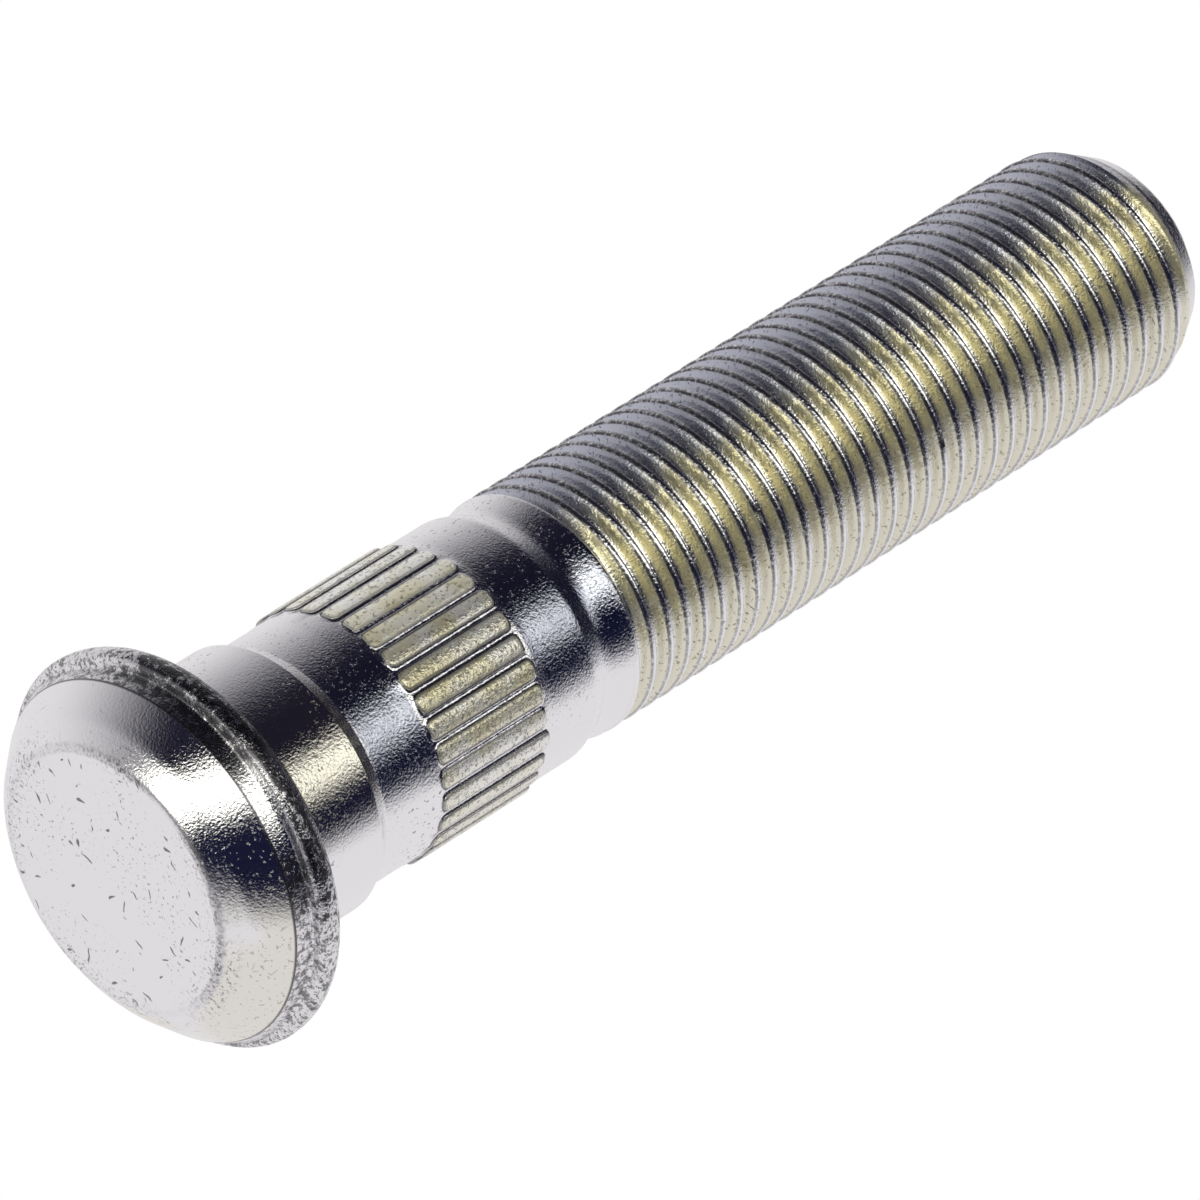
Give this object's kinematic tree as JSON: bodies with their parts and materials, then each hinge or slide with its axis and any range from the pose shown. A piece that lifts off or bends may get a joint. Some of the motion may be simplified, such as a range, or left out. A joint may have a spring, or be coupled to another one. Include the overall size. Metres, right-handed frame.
{
  "type": "wheel stud",
  "caption": "Press-in wheel stud of zinc-plated steel: bevelled round head, stepped collar, straight knurl, waist and a long fine thread.",
  "frame": {"origin": "centre of the head's flat end face, on which the stud stands", "axes": "+Z along the stud's axis, from the head to the thread's tip. The stud is round; +X and +Y pass through the middle of a knurl ridge."},
  "size_m": [0.0254, 0.0254, 0.0868],
  "materials": {
    "zinc_plated_steel": "bright zinc plate with a faint yellow-blue passivation, specks and small handling scratches"
  },
  "bodies": {
    "root": {"wheel_stud": "zinc_plated_steel"}
  },
  "joints": []
}
